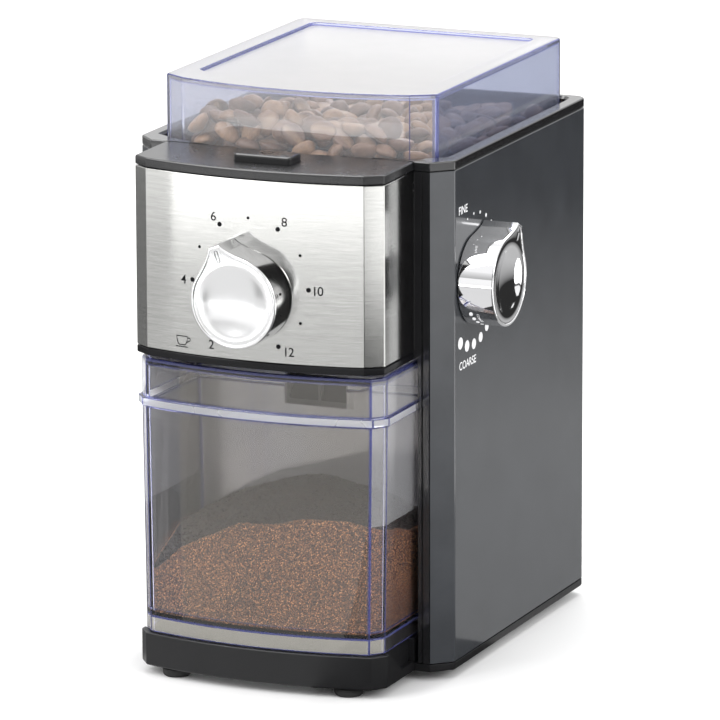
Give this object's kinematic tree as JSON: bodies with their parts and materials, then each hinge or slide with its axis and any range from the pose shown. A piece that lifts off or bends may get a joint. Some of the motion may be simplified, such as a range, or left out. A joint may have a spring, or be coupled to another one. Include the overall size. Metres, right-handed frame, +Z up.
{
  "type": "burr coffee grinder",
  "caption": "Electric burr coffee grinder: clear bean hopper lid, steel head with portion knob, side fineness knob, and a clear container that slides out at the front.",
  "frame": {"origin": "middle of the footprint's bounding box, on the surface that the rubber feet stand on", "axes": "+Z up, +X to the side with the fineness knob, +Y to the rear; the container slides out along -Y"},
  "size_m": [0.1492, 0.2056, 0.2332],
  "materials": {
    "black_plastic": "matt textured moulding",
    "gloss_black": "glossy moulding",
    "slate_plastic": "satin-gloss dark slate grey housing",
    "brushed_steel": "horizontally brushed",
    "chrome": "mirror chrome plating",
    "clear_plastic": "clear with a faint violet-blue tint at its edges",
    "rubber": "matt",
    "steel": "bright machined",
    "brass": "sintered bronze",
    "nylon": "natural nylon",
    "circuit_board": "green laminate"
  },
  "bodies": {
    "grinder_body": {"base": "black_plastic", "top_rim": "black_plastic", "head_body": "black_plastic", "head_cover": "black_plastic", "cord_gland": "black_plastic", "hopper": "black_plastic", "coffee_chute": "black_plastic", "grinding_chamber": "black_plastic", "gearbox_tray": "black_plastic", "rack_guide": "black_plastic", "start_switch": "black_plastic", "lid_switch": "black_plastic", "container_switch": "black_plastic", "front_frame": "gloss_black", "housing_shell": "slate_plastic", "steel_panel": "brushed_steel", "foot_front_left": "rubber", "foot_front_right": "rubber", "foot_rear_left": "rubber", "foot_rear_right": "rubber", "shaft_seal": "rubber", "motor_mount": "rubber", "button_spring": "steel", "motor_can": "steel", "base_screw_front_left": "steel", "base_screw_front_right": "steel", "base_screw_rear_left": "steel", "base_screw_rear_right": "steel", "gearbox_screw_1": "steel", "gearbox_screw_2": "steel", "gearbox_screw_3": "steel", "gearbox_screw_4": "steel", "lower_bush": "brass", "upper_bush": "brass", "fineness_bush": "brass", "motor_end_cap": "nylon", "portion_timer": "nylon", "control_board": "circuit_board", "power_board": "circuit_board"},
    "hopper_lid": {"hopper_lid": "clear_plastic"},
    "container": {"ground_container": "clear_plastic", "container_lid": "clear_plastic"},
    "portion_knob": {"portion_knob": "chrome", "portion_shaft": "steel"},
    "start_button": {"start_button": "gloss_black"},
    "fineness_knob": {"fineness_knob": "chrome", "fineness_shaft": "nylon"},
    "adjusting_rack": {"adjusting_rack": "nylon"},
    "adjusting_ring": {"adjusting_ring": "nylon"},
    "upper_burr": {"upper_burr": "steel", "upper_burr_holder": "nylon"},
    "burr_drive": {"burr_shaft": "steel", "drive_gear": "nylon", "burr_carrier": "nylon", "lower_burr": "steel", "burr_nut": "steel"},
    "motor_drive": {"motor_shaft": "steel", "motor_pinion": "brass", "motor_rotor": "steel"}
  },
  "joints": [
    {"name": "hopper_lid_lift", "type": "slide", "parent": "grinder_body", "child": "hopper_lid", "axis": [0, 0, 1], "range_m": [0, 0.06]},
    {"name": "container_slide", "type": "slide", "parent": "grinder_body", "child": "container", "axis": [0, -1, 0], "range_m": [0, 0.09]},
    {"name": "portion_turn", "type": "hinge", "parent": "grinder_body", "child": "portion_knob", "pos_m": [-0.0076, -0.10275, 0.1588], "axis": [0, 1, 0], "range_deg": [-129.5, 170.5]},
    {"name": "start_press", "type": "slide", "parent": "grinder_body", "child": "start_button", "axis": [0, 0, -1], "range_m": [0, 0.0015], "stiffness_N_per_m": 300, "springref_m": -0.002, "deforming": ["button_spring"]},
    {"name": "fineness_turn", "type": "hinge", "parent": "grinder_body", "child": "fineness_knob", "pos_m": [0.0746, -0.02175, 0.158], "axis": [-1, 0, 0], "range_deg": [-44, 179]},
    {"name": "rack_slide", "type": "slide", "parent": "grinder_body", "child": "adjusting_rack", "axis": [0, -1, 0], "range_m": [-0.00386, 0.01566]},
    {"name": "ring_turn", "type": "hinge", "parent": "grinder_body", "child": "adjusting_ring", "pos_m": [-0.0076, 0.02725, 0.1468], "axis": [0, 0, 1], "range_deg": [-23.3, 5.9]},
    {"name": "upper_burr_lift", "type": "slide", "parent": "adjusting_ring", "child": "upper_burr", "axis": [0, 0, 1], "range_m": [-0.00029, 0.00115]},
    {"name": "motor_spin", "type": "hinge", "parent": "grinder_body", "child": "motor_drive", "pos_m": [-0.0076, 0.06162, 0.0895], "axis": [0, 0, 1], "continuous": true},
    {"name": "burr_spin", "type": "hinge", "parent": "grinder_body", "child": "burr_drive", "pos_m": [-0.0076, 0.02725, 0.0895], "axis": [0, 0, 1], "continuous": true}
  ],
  "couplings": [
    {"joint": "rack_slide", "follows": "fineness_turn", "m_per_rad": 0.005},
    {"joint": "ring_turn", "follows": "fineness_turn", "ratio": -0.12903},
    {"joint": "upper_burr_lift", "follows": "fineness_turn", "m_per_rad": 0.00036},
    {"joint": "burr_spin", "follows": "motor_spin", "ratio": -0.25}
  ]
}
